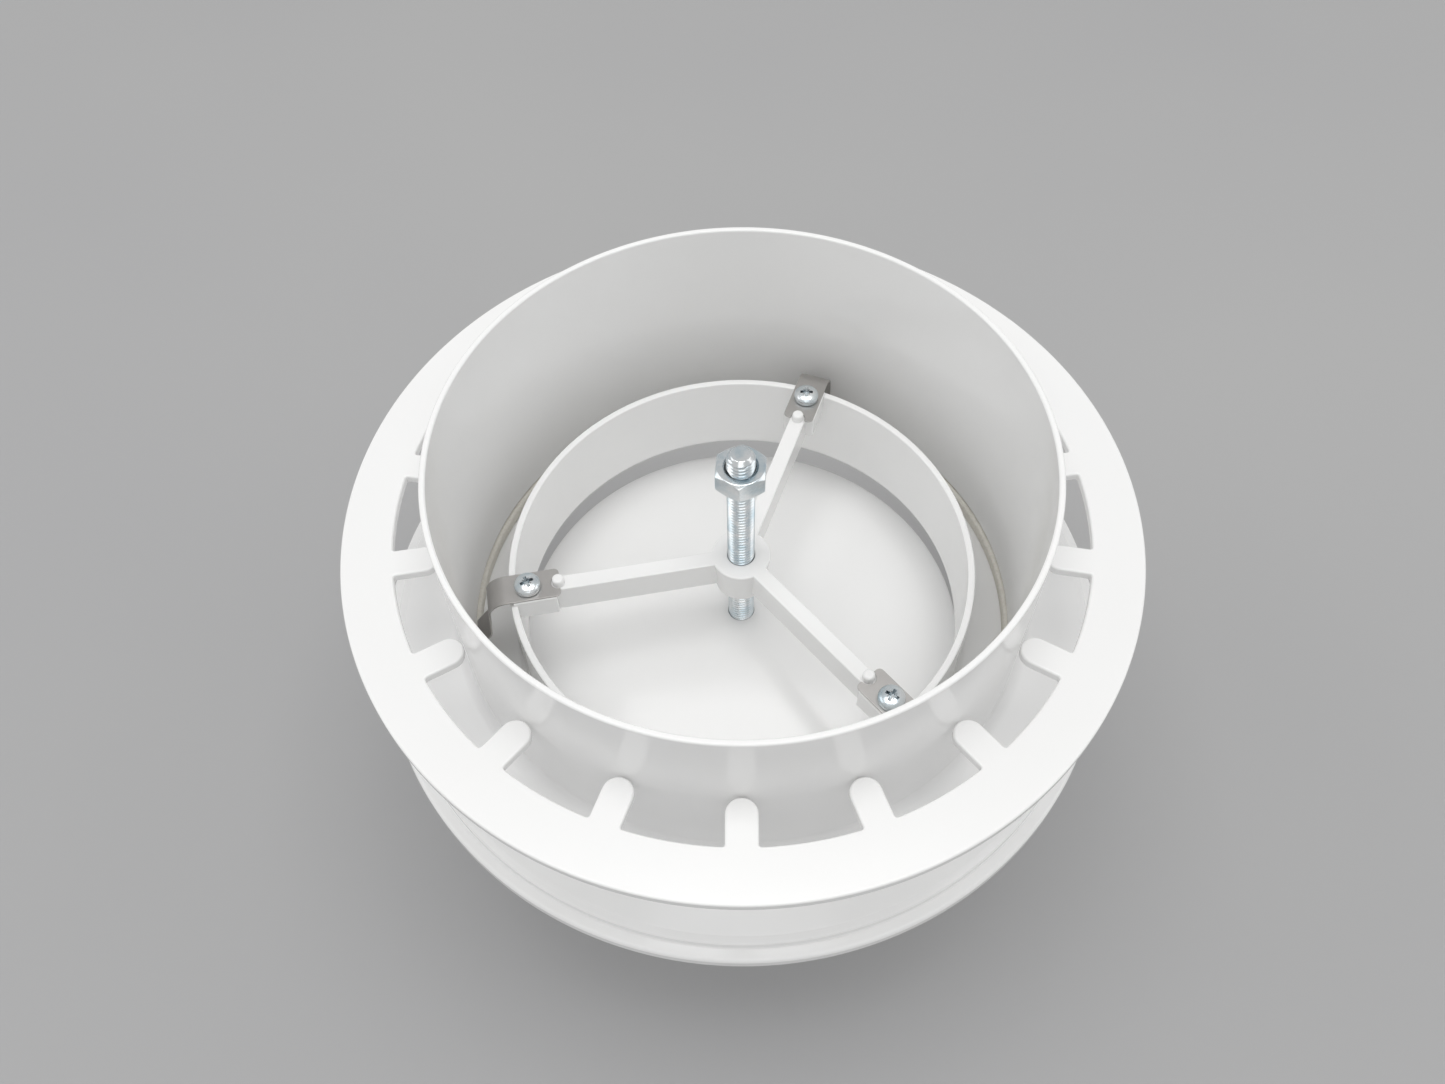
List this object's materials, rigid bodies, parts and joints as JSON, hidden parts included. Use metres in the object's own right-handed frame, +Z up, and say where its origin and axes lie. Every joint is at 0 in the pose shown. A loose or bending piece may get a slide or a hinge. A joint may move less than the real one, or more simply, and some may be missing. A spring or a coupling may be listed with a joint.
{
  "type": "ceiling air diffuser",
  "caption": "Round ceiling air diffuser: flared duct spigot, fingered clamp ring and a spring-clipped valve insert with an adjustable disc on a threaded spindle.",
  "frame": {"origin": "centre of the ceiling cut-out, on the underside of the ceiling board where the flange's land seats", "axes": "+Z up along the duct, away from the room; -Y is the side seen first, with one finger of the clamp ring on it"},
  "size_m": [0.1652, 0.1652, 0.0743],
  "materials": {
    "white_abs": "glossy injection-moulded white",
    "foam": "closed-cell foam, off-white",
    "stainless_spring": "satin spring strip",
    "zinc_steel": "bright zinc plating"
  },
  "bodies": {
    "mounting": {"mounting_body": "white_abs"},
    "clamp_ring": {"clamp_ring": "white_abs"},
    "valve": {"valve_body": "white_abs", "valve_seal": "foam", "spring_clip_1": "stainless_spring", "spring_clip_2": "stainless_spring", "spring_clip_3": "stainless_spring", "clip_screw_1": "zinc_steel", "clip_screw_2": "zinc_steel", "clip_screw_3": "zinc_steel"},
    "spindle": {"spindle": "zinc_steel"},
    "disc": {"disc_shell": "white_abs", "disc_face": "white_abs", "disc_nut": "zinc_steel"},
    "lock_nut": {"lock_nut": "zinc_steel"}
  },
  "joints": [
    {"name": "clamp_ring_slide", "type": "slide", "parent": "mounting", "child": "clamp_ring", "axis": [0, 0, 1], "range_m": [-0.022, 0.021]},
    {"name": "valve_pull", "type": "slide", "parent": "mounting", "child": "valve", "axis": [0, 0, 1], "range_m": [-0.028, 0]},
    {"name": "disc_travel", "type": "slide", "parent": "valve", "child": "spindle", "axis": [0, 0, 1], "range_m": [-0.015, 0.0065]},
    {"name": "disc_turn", "type": "hinge", "parent": "spindle", "child": "disc", "pos_m": [0, 0, 0], "axis": [0, 0, 1], "range_deg": [-5400, 2340]},
    {"name": "lock_nut_travel", "type": "slide", "parent": "spindle", "child": "lock_nut", "axis": [0, 0, 1], "range_m": [-0.0116, 0.0035]}
  ],
  "couplings": [
    {"joint": "disc_travel", "follows": "disc_turn", "m_per_rad": 0.00015915}
  ]
}
